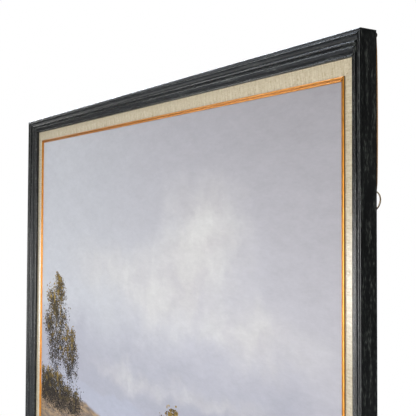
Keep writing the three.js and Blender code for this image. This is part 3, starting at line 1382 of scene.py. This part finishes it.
@dataclass
class DustCover:
    """The kraft sheet glued over the back, whose edge has lifted below the top right bumper."""

    lift: float = 2.9 * MM
    lift_reach: float = 24 * MM
    lift_from: float = 298 * MM
    lift_to: float = 504 * MM
    ripple: float = 0.12 * MM
    ripple_per_m: float = 9.0
    still_edge: float = 40 * MM
    columns: int = 96
    rows: int = 80

    def raised(self, x: float, z: float, half_width: float) -> float:
        """How far the paper stands off its glue line at a place.

        Args:
            x: Across the back.
            z: Up the back.
            half_width: Where the sheet's edge is.

        Returns:
            The height, in metres.
        """
        near = max(0.0, 1 - (half_width - x) / self.lift_reach)
        along = (z - self.lift_from) / (self.lift_to - self.lift_from)
        swell = math.sin(math.pi * min(1.0, max(0.0, along))) ** 0.3
        wave = noise.noise(Vector((self.ripple_per_m * x, self.ripple_per_m * z, 0.0)))
        inner = min(1.0, (half_width - abs(x)) / self.still_edge)
        return self.lift * swell * near**1.5 + self.ripple * wave * max(0.0, inner)

    def build(self) -> bpy.types.Object:
        """Makes the sheet as a grid, lifts it and gives it its thickness.

        Returns:
            The sheet.
        """
        low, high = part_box("dust_cover")
        half_width, half_height = high[0], high[2]
        shape = bmesh.new()
        bmesh.ops.create_grid(shape, x_segments=self.columns, y_segments=self.rows, size=1.0)
        for vert in shape.verts:
            # Rows and columns crowd towards the edges, where the paper lifts.
            x = half_width * math.sin(vert.co.x * math.pi / 2)
            z = half_height * vert.co.y
            vert.co = (x, low[1] + self.raised(x, z, half_width), z)
        grown = bmesh.ops.extrude_face_region(shape, geom=shape.faces[:])["geom"]
        far = [g for g in grown if isinstance(g, bmesh.types.BMVert)]
        bmesh.ops.translate(shape, verts=far, vec=(0, high[1] - low[1], 0))
        return place_piece(shape, "dust_cover_paper", KraftPaper().material(), ("dust_cover",))


@dataclass
class Bumpers:
    """The four rubber bumpers that keep the frame off the wall."""

    shoulder: float = 1.2 * MM
    taper: float = 0.94
    sides: int = 40

    def build(self) -> None:
        """Turns one bumper's profile at each corner."""
        material = RUBBER.material()
        for upright in ("bottom", "top"):
            for across in ("left", "right"):
                node = f"bumper_{upright}_{across}"
                low, high = (Vector(corner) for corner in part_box(node))
                centre, radius, tall = (low + high) / 2, (high.x - low.x) / 2, high.y - low.y
                shape = bmesh.new()
                bmesh.ops.create_cone(
                    shape,
                    cap_ends=True,
                    segments=self.sides,
                    radius1=radius,
                    radius2=radius * self.taper,
                    depth=tall,
                    matrix=Matrix.Translation(centre) @ Matrix.Rotation(-math.pi / 2, 4, "X"),
                )
                top = [e for e in shape.edges if all(v.co.y > centre.y for v in e.verts)]
                bmesh.ops.bevel(
                    shape,
                    geom=top,
                    offset=self.shoulder,
                    segments=5,
                    profile=0.5,
                    affect="EDGES",
                    material=-1,
                )
                place_piece(shape, f"rubber_{node}", material, (node,))


@dataclass
class Hanger:
    """A D-ring hanger: a folded strap, its screw and a ring of wire that swings in the fold."""

    side: Side
    tilt_deg: float = 13.0
    wire: float = 1.15 * MM
    half_width: float = 14 * MM
    straight: float = 5 * MM
    corner: float = 3 * MM
    strap_length: float = 12 * MM
    strap_width: float = 16 * MM
    strap_thickness: float = 1.6 * MM
    fold_radius: float = 2.25 * MM
    wire_sides: int = 20
    corner_steps: int = 10
    round_steps: int = 26
    fold_steps: int = 24
    merge: float = 0.01 * MM

    def frame_matrix(self) -> Matrix:
        """Leads from the hanger's own axes to the row's.

        Its own X runs from screw to bar, Y off the wall and Z along the bar.

        Returns:
            The matrix.
        """
        joint = next(j for j in frame["joints"] if j["name"] == f"ring_swing_{self.side.label}")
        pivot = Vector(joint["pos_m"])
        tilt = math.radians(self.tilt_deg)
        turn = -tilt if self.side is Side.LEFT else math.pi + tilt
        return Matrix.Translation(pivot) @ Matrix.Rotation(turn, 4, "Y")

    def ring(self) -> bmesh.types.BMesh:
        """Bends the wire: half the bar, a corner, a leg, half the round, and its mirror image.

        Returns:
            The ring, on the hanger's own axes.
        """
        shape = bmesh.new()
        section = bmesh.ops.create_circle(
            shape, cap_ends=False, segments=self.wire_sides, radius=self.wire
        )["verts"]
        rim = list({e for v in section for e in v.link_edges})
        rim = self.pushed(shape, rim, (0, 0, self.half_width - self.corner))
        bend = (0, self.corner, self.half_width - self.corner)
        rim = self.bent(shape, rim, bend, math.pi / 2, self.corner_steps)
        rim = self.pushed(shape, rim, (0, self.straight - self.corner, 0))
        self.bent(shape, rim, (0, self.straight, 0), math.pi / 2, self.round_steps)
        everything = shape.verts[:] + shape.edges[:] + shape.faces[:]
        bmesh.ops.mirror(shape, geom=everything, axis="Z", merge_dist=self.merge)
        bmesh.ops.remove_doubles(shape, verts=shape.verts[:], dist=self.merge)
        return shape

    def pushed(self, shape: bmesh.types.BMesh, rim: list, way: tuple[float, float, float]) -> list:
        """Extrudes the wire's open rim along a straight.

        Args:
            shape: The ring so far.
            rim: The edges of its open end.
            way: How far it goes.

        Returns:
            The edges of the new end.
        """
        grown = bmesh.ops.extrude_edge_only(shape, edges=rim)["geom"]
        bmesh.ops.translate(shape, verts=[g for g in grown if isinstance(g, bmesh.types.BMVert)], vec=way)
        return [g for g in grown if isinstance(g, bmesh.types.BMEdge)]

    def bent(self, shape: bmesh.types.BMesh, rim: list, centre: tuple, angle: float, steps: int) -> list:
        """Spins the wire's open rim round a bend.

        Args:
            shape: The ring so far.
            rim: The edges of its open end.
            centre: The middle of the bend.
            angle: How far it turns about X.
            steps: How many steps it takes.

        Returns:
            The edges of the new end.
        """
        ends = {v for e in rim for v in e.verts}
        spun = bmesh.ops.spin(
            shape,
            geom=list(ends) + rim,
            cent=centre,
            axis=(-1, 0, 0),
            angle=angle,
            steps=steps,
            use_merge=False,
        )["geom_last"]
        return [g for g in spun if isinstance(g, bmesh.types.BMEdge)]

    def strap(self) -> bmesh.types.BMesh:
        """Folds a plate round the bar: a flat double layer whose fold closes round the wire.

        Returns:
            The strap, on the hanger's own axes.
        """
        back, front = -self.fold_radius, -self.fold_radius + self.strap_thickness
        meeting = math.asin(front / self.fold_radius)
        shape = bmesh.new()
        outer = [Vector((-self.strap_length, back, 0)), Vector((0, back, 0))]
        for step in range(1, self.fold_steps + 1):
            angle = -math.pi / 2 + (3 * math.pi / 2 - meeting) * step / self.fold_steps
            outer.append(Vector((self.fold_radius * math.cos(angle), self.fold_radius * math.sin(angle), 0)))
        outer.append(Vector((-self.strap_length, front, 0)))
        face = shape.faces.new([shape.verts.new(point) for point in outer])
        bmesh.ops.translate(shape, verts=shape.verts[:], vec=(0, 0, -self.strap_width / 2))
        grown = bmesh.ops.extrude_face_region(shape, geom=[face])["geom"]
        far = [g for g in grown if isinstance(g, bmesh.types.BMVert)]
        bmesh.ops.translate(shape, verts=far, vec=(0, 0, self.strap_width))
        upright = [
            e
            for e in shape.edges
            if all(abs(v.co.x + self.strap_length) < self.merge for v in e.verts)
            and abs(e.verts[0].co.y - e.verts[1].co.y) > MM
        ]
        bmesh.ops.bevel(
            shape, geom=upright, offset=self.corner, segments=8, profile=0.5, affect="EDGES", material=-1
        )
        return shape

    def build(self, steel: bpy.types.Material, brass: bpy.types.Material) -> None:
        """Makes the ring and the strap, and dresses the screw.

        Args:
            steel: The strap's and ring's finish.
            brass: The screw's finish.
        """
        label, matrix = self.side.label, self.frame_matrix()
        for shape, name, body in (
            (self.ring(), f"hanger_ring_{label}", f"ring_{label}"),
            (self.strap(), f"hanger_strap_{label}", "root"),
        ):
            bmesh.ops.transform(shape, matrix=matrix, verts=shape.verts[:])
            place_piece(shape, f"steel_{name}", steel, (name,), body)
        dress_node(f"hanger_screw_{label}", brass)


# ---------------------------------------------------------------- the studio


@dataclass
class SoftBox:
    """A rectangular studio light: where it stands, what it faces, its size and its power."""

    name: str
    place: tuple[float, float, float]
    facing: tuple[float, float, float]
    width: float
    height: float
    watts: float
    tint: str = "ffffff"

    def build(self) -> None:
        """Adds the light."""
        data = bpy.data.lights.new(self.name, "AREA")
        data.shape = "RECTANGLE"
        data.size, data.size_y = self.width, self.height
        data.energy = self.watts
        data.color = linear(self.tint)[:3]
        light = bpy.data.objects.new(self.name, data)
        light.location = self.place
        aim = Vector(self.facing) - Vector(self.place)
        light.rotation_euler = aim.to_track_quat("-Z", "Y").to_euler()
        bpy.context.scene.collection.objects.link(light)
        log.info("light %s: %.0f W", self.name, self.watts)


@dataclass
class Studio:
    """Floor, lights, air and camera."""

    lights: tuple[SoftBox, ...] = (
        SoftBox("front_right", (2.88, -3.43, -0.39), (0.0, 0.0, 0.0), 1.6, 1.4, 142),
        SoftBox("right", (3.88, -2.24, -0.39), (0.0, 0.0, 0.0), 1.6, 1.4, 14),
        SoftBox("far_right", (4.41, -0.78, -0.39), (0.0, 0.0, 0.0), 1.6, 1.4, 12),
        SoftBox("key_left", (-3.53, -2.76, -0.39), (0.0, 0.0, 0.0), 1.5, 0.75, 48),
        SoftBox("upper_left", (-2.64, -2.22, 2.89), (0.0, 0.0, 0.0), 0.9, 0.8, 40, tint="e6f0ff"),
        SoftBox("high_left", (-2.72, -0.99, 3.45), (0.0, 0.0, 0.0), 0.9, 0.8, 54, tint="e6f0ff"),
        SoftBox("left", (-3.88, 0.34, 2.25), (0.0, 0.0, 0.0), 0.9, 1.5, 132, tint="e6f0ff"),
        SoftBox("behind_left", (-2.99, 1.09, 3.18), (0.0, 0.0, 0.0), 1.6, 1.4, 154, tint="e6f0ff"),
        SoftBox("low_glint", (-4.24, -0.60, 1.39), (0.0, 0.0, 0.0), 0.9, 1.4, 18),
        SoftBox("back", (-0.00, 4.35, 1.16), (0.0, 0.0, 0.0), 3.0, 2.0, 110),
    )
    air: str = "000000"
    floor_half: float = 1.3
    floor_gap: float = 0.5 * MM
    eye: tuple[float, float, float] = (1.3833, -0.7173, 0.2774)
    swing_deg: float = 32.174
    pitch_deg: float = 1.753
    roll_deg: float = 0.235
    lens_mm: float = 64.05
    shift: tuple[float, float] = (0.0008, -0.0575)

    def build(self) -> None:
        """Sets the studio up."""
        self.floor()
        self.world()
        self.camera()
        for light in self.lights:
            light.build()
        bpy.context.scene.view_settings.view_transform = "Standard"

    def floor(self) -> None:
        """A plain pale floor under the frame."""
        shape = bmesh.new()
        bmesh.ops.create_grid(shape, x_segments=8, y_segments=8, size=self.floor_half)
        bmesh.ops.translate(shape, verts=shape.verts[:], vec=(0, 0, CAD_BOX[0][2] - self.floor_gap))
        mesh = bpy.data.meshes.new("floor")
        shape.to_mesh(mesh)
        shape.free()
        mesh.materials.append(PALE_FLOOR.material())
        floor = bpy.data.objects.new("floor", mesh)
        bpy.context.scene.collection.objects.link(floor)

    def world(self) -> None:
        """White paper behind the object for the eye alone: the dark room gives no light of its own."""
        world = bpy.data.worlds.new("studio")
        bpy.context.scene.world = world
        world.use_nodes = True
        tree = world.node_tree
        tree.nodes.clear()
        seen = add(tree, "ShaderNodeLightPath").outputs["Is Camera Ray"]
        room = add(tree, "ShaderNodeBackground", {"Color": linear(self.air), "Strength": 1.0})
        paper = add(tree, "ShaderNodeBackground", {"Color": WHITE, "Strength": 1.0})
        both = add(tree, "ShaderNodeMixShader", {0: seen, 1: room.outputs[0], 2: paper.outputs[0]})
        add(tree, "ShaderNodeOutputWorld", {"Surface": both.outputs[0]})

    def camera(self) -> None:
        """Stands to the right of the picture, close in, looking across it."""
        swing, pitch, roll = (math.radians(a) for a in (self.swing_deg, self.pitch_deg, self.roll_deg))
        level = math.cos(pitch)
        ahead = Vector((-math.cos(swing) * level, math.sin(swing) * level, math.sin(pitch)))
        right = Vector((math.sin(swing), math.cos(swing), 0))
        up = right.cross(ahead)
        right, up = (
            right * math.cos(roll) + up * math.sin(roll),
            up * math.cos(roll) - right * math.sin(roll),
        )
        data = bpy.data.cameras.new("camera")
        data.lens, data.sensor_width = self.lens_mm, 36.0
        data.shift_x, data.shift_y = self.shift
        data.clip_start, data.clip_end = 0.05, 50.0
        eye = bpy.data.objects.new("camera", data)
        turn = Matrix((right, up, -ahead)).transposed().to_4x4()
        eye.matrix_world = Matrix.Translation(self.eye) @ turn
        bpy.context.scene.collection.objects.link(eye)
        bpy.context.scene.camera = eye


def main() -> None:
    """Builds the object from the outside in, then its back, then the studio."""
    logging.basicConfig(level=logging.INFO, format="%(name)s: %(message)s")
    Studio().build()
    for band in (Moulding(), LinenLiner(), GiltFillet()):
        band.build()
    Picture().build()
    DustCover().build()
    Bumpers().build()
    steel, brass = ZINC_STEEL.material(), BRASS_PLATE.material()
    for side in (Side.LEFT, Side.RIGHT):
        Hanger(side).build(steel, brass)


if __name__ == "__main__":
    main()
